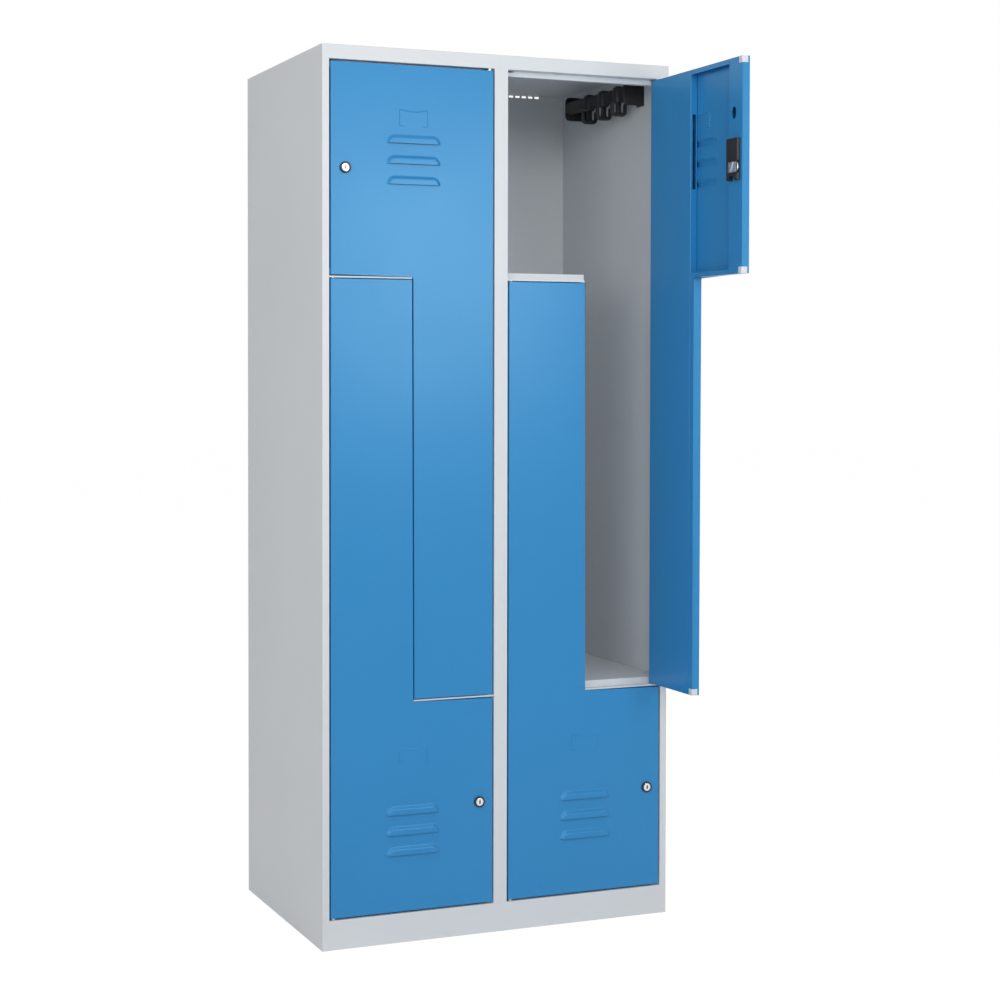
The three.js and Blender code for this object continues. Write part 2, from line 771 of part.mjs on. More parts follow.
// Lock case: flat housing on the back of the door, with a round nose through to the front,
// where a tapered collar covers the edge of the hole
function lockCase(name) {
  const endZ = lock.caseFromEnd + lock.caseHeight;
  const middleX = (caseX[0] + caseX[1]) / 2;
  const windowX = (boltX[0] + boltX[1]) / 2;
  const housing = block(caseX, [caseFront, caseRear], [lock.caseFromEnd, endZ]);
  const at = [lockX, lock.fromEnd];
  const nose = cylinder(lock.noseRadius, 'y', [noseFace, cavityFront], at);
  const collar = cylinder(lock.collarRadius, 'y', [noseFace, doorFace - clearance], at, roundSides,
    lock.noseRadius);
  const cuts = join([
    cylinder(lock.barrelRadius + clearance, 'y', [noseFace - overrun, cavityRear], at),
    block([caseX[0] + lock.caseWall, caseX[1] - lock.caseWall], [cavityFront, cavityRear],
      [lock.fromEnd - crankDisc - clearance, boltZ[1] + clearance]),
    block([lockX, caseX[1] + overrun], [boltFront - clearance, boltRear + clearance],
      [boltZ[0] - clearance, boltZ[1] + clearance]),
    block([windowX - bolt.windowLength / 2, windowX + bolt.windowLength / 2],
      [boltRear, caseRear + overrun],
      [boltMiddle - bolt.windowHeight / 2, boltMiddle + bolt.windowHeight / 2]),
    block([middleX - lock.notchWidth / 2, middleX + lock.notchWidth / 2],
      [caseFront - overrun, caseRear + overrun], [endZ - lock.notchHeight, endZ + overrun]),
  ]);
  return piece(name, join([housing, nose, collar]).subtract(cuts), 'blackPlastic');
}

// Barrel with its key slot. The crank disc at its inner end drives the bolt with an eccentric pin.
function lockBarrel(name) {
  const face = noseFace + lock.barrelRecess;
  const at = [lockX, lock.fromEnd];
  const discFront = cavityFront + clearance;
  const discRear = boltFront - clearance;
  const body = join([
    cylinder(lock.barrelRadius, 'y', [face, discRear], at),
    cylinder(crankDisc, 'y', [discFront, discRear], at),
    cylinder(bolt.crankPin, 'y', [discFront, boltRear], [lockX - crankThrow, lock.fromEnd + crankThrow]),
  ]);
  const slot = block([lockX - lock.slotWidth / 2, lockX + lock.slotWidth / 2],
    [face - overrun, face + lock.slotDepth],
    [lock.fromEnd - lock.slotLength / 2, lock.fromEnd + lock.slotLength / 2]);
  return piece(name, body.subtract(slot), 'steel');
}

// Bolt, drawn back, with the upright slot that the crank pin runs in
function lockBolt(name) {
  const crankX = lockX - crankThrow;
  const reach = bolt.crankPin + bolt.play;
  const slot = block([crankX - reach, crankX + reach], [boltFront - overrun, boltRear + overrun],
    [lock.fromEnd + crankThrow - reach, lock.fromEnd + bolt.crankRadius + reach]);
  return piece(name, block(boltX, [boltFront, boltRear], boltZ).subtract(slot), 'steel');
}

// Hinge pin through an end of the door, with a collar on each side of the door's flange.
// end is the end of the door, out points away from the door, reach is how far the pin stands out.
function hingePin(name, end, out, gap, reach) {
  const inner = end - out * (sheet + clearance);
  const round = (radius, from, to) => cylinder(radius, 'z', [from, to], [0, 0], pinSides);
  const body = join([
    round(hinge.pinRadius, end - out * hinge.shankLength, end + out * reach),
    round(hinge.collarRadius, end + out * clearance, end + out * (gap - clearance)),
    round(hinge.collarRadius, inner, inner - out * hinge.innerCollar),
  ]);
  return piece(name, body, 'steel');
}

// A whole door in its own frame. up is +1 when Z points up on the finished door.
function doorPieces(prefix, up) {
  const pinNames = ['lower_hinge_pin', 'upper_hinge_pin'];
  const [headPin, legPin] = up > 0 ? pinNames : pinNames.reverse();
  const louvreFromEnd = up > 0 ? louvre.lowerFromEnd : louvre.upperFromEnd;
  const labelFromEnd = up > 0 ? label.lowerFromEnd : label.upperFromEnd;
  const group = new THREE.Group();
  group.add(
    ...doorPans(prefix, up, louvreFromEnd, labelFromEnd),
    hingeStiffener(`${prefix}_hinge_stiffener`),
    lockStiffener(`${prefix}_lock_stiffener`),
    lockCase(`${prefix}_lock_case`),
    lockBarrel(`${prefix}_lock_barrel`),
    lockBolt(`${prefix}_lock_bolt`),
    hingePin(`${prefix}_${headPin}`, 0, -1, door.endGap, door.endGap + sheet + hinge.tip),
    hingePin(`${prefix}_${legPin}`, doorHeight, 1, lipGap, lipGap + shelf.lipThickness + hinge.tip),
  );
  return group;
}

// Lower door, hung at the left of its bay and closed
function lowerDoor(prefix, side) {
  const hung = doorPieces(prefix, 1);
  hung.position.set(side * bayCentre - pinX, pinY, lowerDoorBottom);
  return hung;
}

// Upper door: the same shape turned half over, hung at the right of its bay
function upperDoor(prefix, side, opening) {
  const turned = doorPieces(prefix, -1);
  turned.rotation.y = Math.PI;
  const hung = new THREE.Group();
  hung.add(turned);
  hung.position.set(side * bayCentre + pinX, pinY, upperDoorTop);
  hung.rotation.z = opening;
  return hung;
}

const assembly = new THREE.Group();
assembly.add(
  sidePanel('left_side_panel', -1),
  sidePanel('right_side_panel', 1),
  centreStile(),
  centrePartition(),
  roofPanel(),
  basePanel(),
  backPanel(),
);
for (const [hand, side] of [['left', -1], ['right', 1]]) {
  const [leftWall, rightWall] = bayWalls(side);
  assembly.add(
    topStopStrip(`${hand}_top_stop`, side),
    halfShelf(`${hand}_upper_shelf`, side, -1, upperLipBottom, upperShelfTop),
    halfShelf(`${hand}_lower_shelf`, side, 1, lowerLipBottom, lowerShelfTop),
    divider(`${hand}_divider`, side),
    coatRail(`${hand}_upper_coat_rail`, rightWall, -1, roofUnderside),
    coatRail(`${hand}_lower_coat_rail`, leftWall, 1, upperShelfTop - sheet),
    levellingFoot(`${hand}_front_foot`, side * footX, footRows[0]),
    levellingFoot(`${hand}_back_foot`, side * footX, footRows[1]),
    lowerDoor(`${hand}_lower_door`, side),
    upperDoor(`${hand}_upper_door`, side, side > 0 ? restOpening : 0),
  );
}

// The origin lies on the ground, under the middle of the locker with its door open
assembly.position.y = (doorWidth - 2 * hinge.inset) / 2;

export default assembly;
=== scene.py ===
import json
import math

import bmesh
import bpy
from mathutils import Matrix, Vector


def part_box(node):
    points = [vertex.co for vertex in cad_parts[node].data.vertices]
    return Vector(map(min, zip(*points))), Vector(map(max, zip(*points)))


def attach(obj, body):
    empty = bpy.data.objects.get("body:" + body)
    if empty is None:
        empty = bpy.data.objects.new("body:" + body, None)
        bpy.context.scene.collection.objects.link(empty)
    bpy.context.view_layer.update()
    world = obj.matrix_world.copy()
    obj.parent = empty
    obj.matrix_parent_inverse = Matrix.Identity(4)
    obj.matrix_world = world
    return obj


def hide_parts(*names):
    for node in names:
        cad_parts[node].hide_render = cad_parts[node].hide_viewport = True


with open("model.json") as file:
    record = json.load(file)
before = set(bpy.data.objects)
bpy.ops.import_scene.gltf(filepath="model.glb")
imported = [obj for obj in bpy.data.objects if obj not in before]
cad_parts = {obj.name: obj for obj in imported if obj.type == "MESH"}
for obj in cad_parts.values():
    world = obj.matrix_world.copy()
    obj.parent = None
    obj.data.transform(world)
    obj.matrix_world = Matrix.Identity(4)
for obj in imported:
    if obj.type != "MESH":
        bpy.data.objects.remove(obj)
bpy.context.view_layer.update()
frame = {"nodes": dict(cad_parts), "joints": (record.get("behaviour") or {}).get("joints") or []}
scene = bpy.context.scene
MM = 0.001


# Carcass sheets: 0.8 mm cold-rolled steel, folded and spot-welded, then coated with light grey
# polyester powder and baked. The powder melts to a satin film with a faint orange-peel wave.

def linear(hex_colour):
    """An sRGB hex colour as the linear RGBA that the shaders use."""
    toe_end, toe_slope, offset, gamma, opaque = 0.04045, 12.92, 0.055, 2.4, 1.0
    channels = [int(hex_colour[i:i + 2], 16) / 255 for i in (1, 3, 5)]
    return [c / toe_slope if c <= toe_end else ((c + offset) / (1 + offset)) ** gamma
            for c in channels] + [opaque]


def add_node(tree, kind, inputs=None, **settings):
    """A node with its settings. An input is given a value, or an output socket to link it to."""
    node = tree.nodes.new(kind)
    for name, value in settings.items():
        setattr(node, name, value)
    for name, value in (inputs or {}).items():
        if isinstance(value, bpy.types.NodeSocket):
            tree.links.new(value, node.inputs[name])
        else:
            node.inputs[name].default_value = value
    return node


def new_material(name):
    """An empty material, with its tree and the Object coordinates that its patterns read."""
    material = bpy.data.materials.new(name)
    material.use_nodes = True
    tree = material.node_tree
    tree.nodes.clear()
    place = add_node(tree, "ShaderNodeTexCoord").outputs["Object"]
    return material, tree, place


def blended(tree, factor, colour, shade):
    """A socket with a blend of two hex colours."""
    factor_in, colour_in, shade_in, colour_out = 0, 6, 7, 2
    mix = add_node(tree, "ShaderNodeMix", {
        factor_in: factor, colour_in: linear(colour), shade_in: linear(shade),
    }, data_type="RGBA")
    return mix.outputs[colour_out]


def finish_material(material, tree, shader):
    """Links the shader to the material's output."""
    add_node(tree, "ShaderNodeOutputMaterial", {"Surface": shader.outputs[0]})
    return material


POLYMER_IOR = 1.5


def powder_coat(name, colour, shade, roughness, gloss_tint):
    """Baked powder: colour drifts a little over a hand's width, and the film has a fine wave.
    The wave of the real film is 1 to 2 mm long. It is drawn longer, so that it shows."""
    drift_scale = 1 / (220 * MM)
    peel_scale = 1 / (5 * MM)
    peel_height, peel_strength = 0.07 * MM, 0.8
    gloss_drift = 0.03
    material, tree, place = new_material(name)
    drift = add_node(tree, "ShaderNodeTexNoise", {"Vector": place, "Scale": drift_scale, "Detail": 2})
    tint = blended(tree, drift.outputs["Fac"], colour, shade)
    peel = add_node(tree, "ShaderNodeTexNoise", {"Vector": place, "Scale": peel_scale, "Detail": 1})
    film = add_node(tree, "ShaderNodeMapRange", {
        "Value": drift.outputs["Fac"],
        "To Min": roughness - gloss_drift, "To Max": roughness + gloss_drift,
    })
    bump = add_node(tree, "ShaderNodeBump", {
        "Height": peel.outputs["Fac"], "Distance": peel_height, "Strength": peel_strength,
    })
    shader = add_node(tree, "ShaderNodeBsdfPrincipled", {
        "Base Color": tint,
        "Roughness": film.outputs[0],
        "Normal": bump.outputs[0],
        "IOR": POLYMER_IOR,
        "Specular Tint": linear(gloss_tint),
    })
    return finish_material(material, tree, shader)


def dress(node, material):
    """Gives a CAD node its finish."""
    slots = frame["nodes"][node].data.materials
    slots.clear()
    slots.append(material)


grey_powder = powder_coat("polyester_powder_coat_light_grey", "#D6DADD", "#D2D6DA", 0.42, "#FFFFFF")
GREY_SHEETS = ["left_side_panel", "right_side_panel", "centre_stile", "centre_partition", "roof_panel",
               "base_panel", "back_panel"]
for hand in ("left", "right"):
    GREY_SHEETS += [f"{hand}_{sheet}" for sheet in ("upper_shelf", "divider", "lower_shelf")]
for sheet in GREY_SHEETS:
    dress(sheet, grey_powder)


# Weld beads at the two ends of the centre stile: mild steel, laid into the groove that the
# rounded rail leaves there, and ground flush before the carcass is coated.

def mesh_piece(name, body, material, mesh, replaced=()):
    """Puts a finished mesh in the scene as a piece that rides on a body."""
    piece = bpy.data.objects.new(name, mesh)
    scene.collection.objects.link(piece)
    mesh.materials.clear()
    mesh.materials.append(material)
    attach(piece, body)
    if replaced:
        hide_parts(*replaced)
    return piece


def prism_faces(bm, outline, place, start, end):
    """Adds a closed prism: place(point, depth) turns an outline's point into a place in space."""
    rows = [[bm.verts.new(place(point, depth)) for point in outline] for depth in (start, end)]
    count = len(outline)
    bm.faces.new(rows[0])
    bm.faces.new(reversed(rows[1]))
    for i in range(count):
        j = (i + 1) % count
        bm.faces.new((rows[0][j], rows[0][i], rows[1][i], rows[1][j]))


def along_x(point, depth):
    """Stands an outline of (y, z) points along X."""
    return (depth, point[0], point[1])


def smooth(mesh, angle):
    """Smooth shading, with sharp edges where two faces meet at more than the angle."""
    mesh.shade_smooth()
    mesh.set_sharp_from_angle(angle=math.radians(angle))
    return mesh


def mesh_of(bm, name, smooth_angle=None):
    """Turns a bmesh into a mesh whose faces point outwards."""
    bmesh.ops.recalc_face_normals(bm, faces=bm.faces)
    mesh = bpy.data.meshes.new(name)
    bm.to_mesh(mesh)
    bm.free()
    return smooth(mesh, smooth_angle) if smooth_angle else mesh


def weld_beads():
    """Bead at each end of the stile: it fills the groove of a bend, and goes a little way into it."""
    bend, sunk, steps = 1.6 * MM, 0.1 * MM, 5
    radius = bend - sunk / 2
    stile_low, stile_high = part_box("centre_stile")
    front = stile_low.y
    bm = bmesh.new()
    for rail, toward in ((stile_high.z, 1), (stile_low.z, -1)):
        groove = [(front, rail - toward * sunk), (front, rail + toward * bend)]
        for i in range(1, steps):
            angle = math.pi / 2 * i / steps
            groove.append((front + bend - radius * math.cos(angle),
                           rail + toward * (bend - radius * math.sin(angle))))
        groove += [(front + bend, rail), (front + bend, rail - toward * sunk)]
        prism_faces(bm, groove, along_x, stile_low.x + bend, stile_high.x - bend)
    return mesh_of(bm, "frame_weld_beads")


mesh_piece("frame_weld_beads", "carcass", grey_powder, weld_beads())


# Top stops: a flat box section of the same sheet under the roof of each bay, which an upper door
# closes against. Its front is cut away at both top corners, clear of the folds of the roof.

SHEET = 0.8 * MM


def along_y(point, depth):
    """Stands an outline of (x, z) points along Y."""
    return (point[0], depth, point[1])


def top_stop(node):
    """Front with its two cut corners, and the back with both flanges, which end inside the front."""
    notch, slope, below_rail, above_rail = 19 * MM, 6 * MM, 2.6 * MM, 3.4 * MM
    low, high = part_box(node)
    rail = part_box("centre_stile")[1].z
    left_half = [(low.x + notch + slope, high.z), (low.x + notch + slope, rail + above_rail),
                 (low.x + notch, rail - below_rail), (low.x, rail - below_rail), (low.x, low.z)]
    right_half = [(low.x + high.x - x, z) for x, z in reversed(left_half)]
    bm = bmesh.new()
    prism_faces(bm, left_half + right_half, along_y, low.y, low.y + SHEET)
    behind = low.y + SHEET / 2
    back_and_flanges = [
        (behind, high.z), (behind, high.z - SHEET), (high.y - SHEET, high.z - SHEET),
        (high.y - SHEET, low.z + SHEET), (behind, low.z + SHEET), (behind, low.z),
        (high.y, low.z), (high.y, high.z),
    ]
    prism_faces(bm, back_and_flanges, along_x, low.x, high.x)
    return mesh_of(bm, f"{node}_section")


for hand in ("left", "right"):
    mesh_piece(f"{hand}_top_stop_section", "carcass", grey_powder,
               top_stop(f"{hand}_top_stop"), [f"{hand}_top_stop"])


# Levelling feet: a polyamide disc on a screwed stem, with a nut above the bottom lip.
# All that shows is the dark edge of the disc between plinth and floor.

def moulded_plastic(name, colour, shade, roughness):
    """Moulded plastic, with the fine grain of a spark-eroded mould, drawn twice as coarse."""
    grain_scale = 1 / (0.8 * MM)
    grain_height, grain_strength = 0.03 * MM, 0.6
    sheen_drift = 0.05
    material, tree, place = new_material(name)
    grain = add_node(tree, "ShaderNodeTexNoise", {"Vector": place, "Scale": grain_scale, "Detail": 2})
    tint = blended(tree, grain.outputs["Fac"], colour, shade)
    sheen = add_node(tree, "ShaderNodeMapRange", {
        "Value": grain.outputs["Fac"],
        "To Min": roughness - sheen_drift, "To Max": roughness + sheen_drift,
    })
    bump = add_node(tree, "ShaderNodeBump", {
        "Height": grain.outputs["Fac"], "Distance": grain_height, "Strength": grain_strength,
    })
    shader = add_node(tree, "ShaderNodeBsdfPrincipled", {
        "Base Color": tint,
        "Roughness": sheen.outputs[0],
        "Normal": bump.outputs[0],
        "IOR": POLYMER_IOR,
    })
    return finish_material(material, tree, shader)


def turned_rings(bm, profile, sides, place):
    """Adds a ring of vertices for each (radius, height) of a profile."""
    rings = []
    for radius, height in profile:
        ring = []
        for i in range(sides):
            angle = 2 * math.pi * i / sides
            ring.append(bm.verts.new(place(radius * math.cos(angle), radius * math.sin(angle), height)))
        rings.append(ring)
    return rings


def bridge(bm, rings):
    """Adds the faces between each ring of vertices and the next."""
    for low, high in zip(rings, rings[1:]):
        for i in range(len(low)):
            j = (i + 1) % len(low)
            bm.faces.new((low[i], low[j], high[j], high[i]))


def turned(bm, profile, sides, place):
    """Adds a closed turned solid, whose profile goes from end to end."""
    rings = turned_rings(bm, profile, sides, place)
    bm.faces.new(reversed(rings[0]))
    bm.faces.new(rings[-1])
    bridge(bm, rings)


black_polyamide = moulded_plastic("moulded_polyamide_black", "#131416", "#1A1B1D", 0.45)


def levelling_foot(node):
    """Disc and stem, turned as one, with the hexagon nut."""
    disc_radius, disc_top, stem_radius = 15 * MM, 1.7 * MM, 4 * MM
    nut_radius, nut_bottom, nut_top = 7.4 * MM, 3.1 * MM, 9.1 * MM
    edge = 0.4 * MM
    round_sides, nut_sides, smooth_angle = 40, 6, 35
    low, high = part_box(node)
    x, y = (low.x + high.x) / 2, (low.y + high.y) / 2

    def upright(a, b, height):
        return (x + a, y + b, height)

    bm = bmesh.new()
    turned(bm, [(disc_radius - edge, 0), (disc_radius, edge), (disc_radius, disc_top - edge),
                (disc_radius - edge, disc_top), (stem_radius, disc_top), (stem_radius, high.z - edge),
                (stem_radius - edge, high.z)], round_sides, upright)
    nut = bmesh.new()
    turned(nut, [(nut_radius - edge, nut_bottom), (nut_radius, nut_bottom + edge),
                 (nut_radius, nut_top - edge), (nut_radius - edge, nut_top)], nut_sides, upright)
    bm.from_mesh(mesh_of(nut, "nut"))
    return mesh_of(bm, f"{node}_turned", smooth_angle)


for hand in ("left", "right"):
    for end in ("front", "back"):
        node = f"{hand}_{end}_foot"
        mesh_piece(f"{node}_turned", "carcass", black_polyamide,
                   levelling_foot(node), [node])


# Coat rails: one moulding of black polyamide under each ceiling, screwed to the wall by the plates
# at its ends. Its oval rail carries three sleeves, each with a double hook below.

def finished_mesh(blank, name):
    """The mesh that an object's modifiers give. The object itself is removed."""
    bpy.context.view_layer.update()
    evaluated = blank.evaluated_get(bpy.context.evaluated_depsgraph_get())
    mesh = bpy.data.meshes.new_from_object(evaluated)
    mesh.name = name
    bpy.data.objects.remove(blank)
    return mesh


MOULD_ANGLE = 40


def rounded(shape_mesh, name, radius, steps):
    """Rounds all sharp edges of a mesh, as a mould or a press does."""
    blank = bpy.data.objects.new(name, shape_mesh)
    scene.collection.objects.link(blank)
    edges = blank.modifiers.new("edges", "BEVEL")
    edges.width = radius
    edges.segments = steps
    edges.limit_method = "ANGLE"
    edges.angle_limit = math.radians(MOULD_ANGLE)
    edges.use_clamp_overlap = True
    return smooth(finished_mesh(blank, name), MOULD_ANGLE)


def joined(meshes, name):
    """Several meshes as one."""
    bm = bmesh.new()
    for mesh in meshes:
        bm.from_mesh(mesh)
    result = bpy.data.meshes.new(name)
    bm.to_mesh(result)
    bm.free()
    return result


def arc(centre, radius, start, end, steps):
    """Points along an arc, with its angles in degrees."""
    points = []
    for i in range(steps + 1):
        angle = math.radians(start + (end - start) * i / steps)
        points.append((centre[0] + radius * math.cos(angle), centre[1] + radius * math.sin(angle)))
    return points


def stadium(width, height, centre, steps=12):
    """Standing slot outline with round ends, about a centre."""
    reach = (height - width) / 2
    a, b = centre
    upper = arc((a, b + reach), width / 2, 0, 180, steps)
    lower = arc((a, b - reach), width / 2, 180, 360, steps)
    return upper + lower


def double_hook_outline(top):
    """Anchor-shaped outline: a stem between two arms with round tips, over a round floor."""
    drop, floor, gap_height = 29 * MM, 8 * MM, 21 * MM
    stem, gap, half, corner, tip = 5 * MM, 8.5 * MM, 19 * MM, 11 * MM, 2.7 * MM
    overlap, steps, tip_steps = 1 * MM, 8, 6
    bottom = top - drop
    gap_bottom = bottom + floor
    tip_centre = gap_bottom + gap_height - tip
    throat = gap / 2
    points = [(stem, top + overlap), (-stem, top + overlap)]
    points += arc((-stem - throat, gap_bottom + throat), throat, 0, -180, steps)
    points += arc((-half + tip, tip_centre), tip, 0, 180, tip_steps)
    points += arc((-half + corner, bottom + corner), corner, 180, 270, steps)
    points += arc((half - corner, bottom + corner), corner, -90, 0, steps)
    points += arc((half - tip, tip_centre), tip, 0, 180, tip_steps)
    points += arc((stem + throat, gap_bottom + throat), throat, 0, -180, steps)
    return points


def row_tree(name, step_axis):
    """Geometry Nodes tree that repeats the piece it is put on, in a straight row."""
    tree = bpy.data.node_groups.new(name, "GeometryNodeTree")
    sockets = tree.interface
    sockets.new_socket("Piece", in_out="INPUT", socket_type="NodeSocketGeometry")
    sockets.new_socket("Count", in_out="INPUT", socket_type="NodeSocketInt")
    sockets.new_socket("Pitch", in_out="INPUT", socket_type="NodeSocketFloat")
    sockets.new_socket("Finish", in_out="INPUT", socket_type="NodeSocketMaterial")
    sockets.new_socket("Row", in_out="OUTPUT", socket_type="NodeSocketGeometry")
    given = add_node(tree, "NodeGroupInput")
    step = add_node(tree, "ShaderNodeCombineXYZ", {step_axis: given.outputs["Pitch"]})
    line = add_node(tree, "GeometryNodeMeshLine", {
        "Count": given.outputs["Count"], "Offset": step.outputs[0],
    }, mode="OFFSET")
    copies = add_node(tree, "GeometryNodeInstanceOnPoints", {
        "Points": line.outputs[0], "Instance": given.outputs["Piece"],
    })
    real = add_node(tree, "GeometryNodeRealizeInstances", {"Geometry": copies.outputs[0]})
    painted = add_node(tree, "GeometryNodeSetMaterial", {
        "Geometry": real.outputs[0], "Material": given.outputs["Finish"],
    })
    add_node(tree, "NodeGroupOutput", {"Row": painted.outputs[0]})
    return tree


def in_a_row(mesh, name, tree, count, pitch, material):
    """Repeats a mesh with a row tree, and returns the row as a plain mesh."""
    blank = bpy.data.objects.new(name, mesh)
    scene.collection.objects.link(blank)
    row = blank.modifiers.new("row", "NODES")
    row.node_group = tree
    ids = {item.name: item.identifier for item in tree.interface.items_tree}
    row[ids["Count"]] = count
    row[ids["Pitch"]] = pitch
    row[ids["Finish"]] = material
    return finished_mesh(blank, name)


HOOK_ROW = row_tree("row_of_coat_hooks", "Y")


def moulded_bar(outline, start, end, name, edge, steps):
    """Straight bar along Y with rounded edges."""
    bm = bmesh.new()
    prism_faces(bm, outline, along_y, start, end)
    return rounded(mesh_of(bm, name), name, edge, steps)


def coat_rail(node, away):
    """away is +1 where the rail stands out from its wall towards +X."""
    rail_width, rail_height, rail_setback, from_wall = 15 * MM, 30 * MM, 1 * MM, 43 * MM
    plate_width, plate_height, plate_thickness, plate_corner = 51 * MM, 54.5 * MM, 5 * MM, 11 * MM
    foot_length, foot_thickness, wall_gap = 30 * MM, 3 * MM, 0.3 * MM
    sleeve_width, sleeve_height, sleeve_length, sleeve_round = 24 * MM, 38 * MM, 24 * MM, 8 * MM
    hook_thickness, first_hook, hook_pitch, hook_count = 10 * MM, 39.5 * MM, 69 * MM, 3
    screw_rise, screw_from_end, screw_sunk, screw_sides, screw_angle = 14 * MM, 20 * MM, 0.2 * MM, 16, 50
    screw_head = [(4 * MM, 0), (4 * MM, 0.5 * MM), (3.4 * MM, 1.6 * MM), (1.5 * MM, 2.2 * MM)]
    rail_edge, plate_edge, foot_edge, bow_edge = 1 * MM, 1.2 * MM, 0.8 * MM, 1.4 * MM
    coarse, fine, finest, corner_steps = 2, 3, 7, 8
    low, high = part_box(node)
    wall = low.x - wall_gap if away > 0 else high.x + wall_gap
    top = high.z
    bottom = top - plate_height
    middle = top - plate_height / 2
    x = wall + away * from_wall

    parts = [moulded_bar(stadium(rail_width, rail_height, (x, middle)),
                         low.y + rail_setback, high.y - rail_setback, "rail", rail_edge, coarse)]

    near, far = wall + away * wall_gap, wall + away * plate_width
    edge = far - away * plate_corner
    if away > 0:
        plate = [(near, bottom)]
        plate += arc((edge, bottom + plate_corner), plate_corner, -90, 0, corner_steps)
        plate += arc((edge, top - plate_corner), plate_corner, 0, 90, corner_steps) + [(near, top)]
    else:
        plate = [(near, top)] + arc((edge, top - plate_corner), plate_corner, 90, 180, corner_steps)
        plate += arc((edge, bottom + plate_corner), plate_corner, 180, 270, corner_steps)
        plate += [(near, bottom)]
    foot = [(near, bottom), (near + away * foot_thickness, bottom),
            (near + away * foot_thickness, top), (near, top)]
    for end, inward in ((low.y, 1), (high.y, -1)):
        parts.append(moulded_bar(plate, end, end + inward * plate_thickness, "plate", plate_edge, fine))
        parts.append(moulded_bar(foot, end, end + inward * foot_length, "foot", foot_edge, coarse))
        for rise in (-screw_rise, screw_rise):
            screw = bmesh.new()
            turned(screw, screw_head, screw_sides,
                   lambda a, b, height: (near + away * (foot_thickness + height - screw_sunk),
                                         end + inward * screw_from_end + a, middle + rise + b))
            parts.append(mesh_of(screw, "screw", screw_angle))

    y = low.y + first_hook
    sleeve_bottom = middle - sleeve_height / 2
    sleeve_top = sleeve_bottom + sleeve_height
    left, right = x - sleeve_width / 2, x + sleeve_width / 2
    sleeve = [(left, sleeve_bottom), (right, sleeve_bottom), (right, sleeve_top), (left, sleeve_top)]
    bow = [(x + a, b) for a, b in double_hook_outline(sleeve_bottom)]
    hook = joined([
        moulded_bar(sleeve, y - sleeve_length / 2, y + sleeve_length / 2, "sleeve", sleeve_round, finest),
        moulded_bar(bow, y - hook_thickness / 2, y + hook_thickness / 2, "bow", bow_edge, fine),
    ], "double_hook")
    parts.append(in_a_row(hook, "double_hooks", HOOK_ROW, hook_count, hook_pitch, black_polyamide))
    return smooth(joined(parts, f"{node}_moulding"), MOULD_ANGLE)


for hand in ("left", "right"):
    for level, away in (("upper", -1), ("lower", 1)):
        node = f"{hand}_{level}_coat_rail"
        mesh_piece(f"{node}_moulding", "carcass", black_polyamide,
                   coat_rail(node, away), [node])


# Door skins: L-shaped, of the same sheet, pressed with three louvres and a card holder, folded
# round the edges, welded at the corners and coated in sky-blue powder.

sky_blue_powder = powder_coat("polyester_powder_coat_sky_blue", "#2F86C1", "#2C82BD", 0.29, "#C6F2FF")
# Each door: whether it is turned half over, and by how many degrees it stands open at rest.
DOORS = {"left_lower_door": (False, 0), "left_upper_door": (True, 0),
         "right_lower_door": (False, 0), "right_upper_door": (True, 90)}


def door_place(door):
    """Where a door's own frame lies: X from its hinge axis to its lock edge, front at -Y,
    Z from the end of the wide head to the end of the leg. Upper doors are turned half over."""
    upside_down, opened = DOORS[door]
    hinge = next(joint for joint in frame["joints"] if joint["name"] == f"{door}_hinge")
    low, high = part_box(f"{door}_head_pan")
    x, y, _ = hinge["pos_m"]
    place = Matrix.Translation((x, y, high.z if upside_down else low.z))
    if opened:
        place = place @ Matrix.Rotation(math.radians(opened), 4, "Z")
    if upside_down:
        place = place @ Matrix.Rotation(math.pi, 4, "Y")
    return place


FACE, BACK = -6.5 * MM, 11 * MM
HINGE_EDGE, LEG_EDGE, LOCK_EDGE = -6.5 * MM, 173.5 * MM, 356.5 * MM
HEAD_END, LEG_END = 433.5 * MM, 1309.5 * MM
MIDDLE = (HINGE_EDGE + LOCK_EDGE) / 2
LOCK_X, LOCK_Z = 325.5 * MM, 215 * MM


def l_outline(margin):
    """The door's L, drawn in by a margin."""
    hinge_edge, leg_edge, lock_edge = HINGE_EDGE + margin, LEG_EDGE - margin, LOCK_EDGE - margin
    head_end, leg_end = HEAD_END - margin, LEG_END - margin
    return [(hinge_edge, margin), (lock_edge, margin), (lock_edge, head_end),
            (leg_edge, head_end), (leg_edge, leg_end), (hinge_edge, leg_end)]


NEAR = 0.001 * MM


def folded_blank(margin, front, back, bend, steps):
    """L-shaped block whose front edges are rounded like a fold."""
    round_profile = 0.5
    bm = bmesh.new()
    prism_faces(bm, l_outline(margin), along_y, front, back)
    edges = [edge for edge in bm.edges if all(abs(vert.co.y - front) < NEAR for vert in edge.verts)]
    bmesh.ops.bevel(bm, geom=edges, offset=bend, segments=steps, profile=round_profile, affect="EDGES")
    return mesh_of(bm, "blank")


def cut(mesh, tool, operation, name="cut"):
    """Joins, or takes away, a closed solid from another."""
    blank = bpy.data.objects.new(name, mesh)
    knife = bpy.data.objects.new("tool", tool)
    for thing in (blank, knife):
        scene.collection.objects.link(thing)
    boolean = blank.modifiers.new("boolean", "BOOLEAN")
    boolean.operation = operation
    boolean.object = knife
    boolean.solver = "MANIFOLD"
    result = finished_mesh(blank, name)
    bpy.data.objects.remove(knife)
    return result


def slab(outline, front, back, name="slab"):
    """Closed block with an outline in the door's plane."""
    bm = bmesh.new()
    prism_faces(bm, outline, along_y, front, back)
    return mesh_of(bm, name)


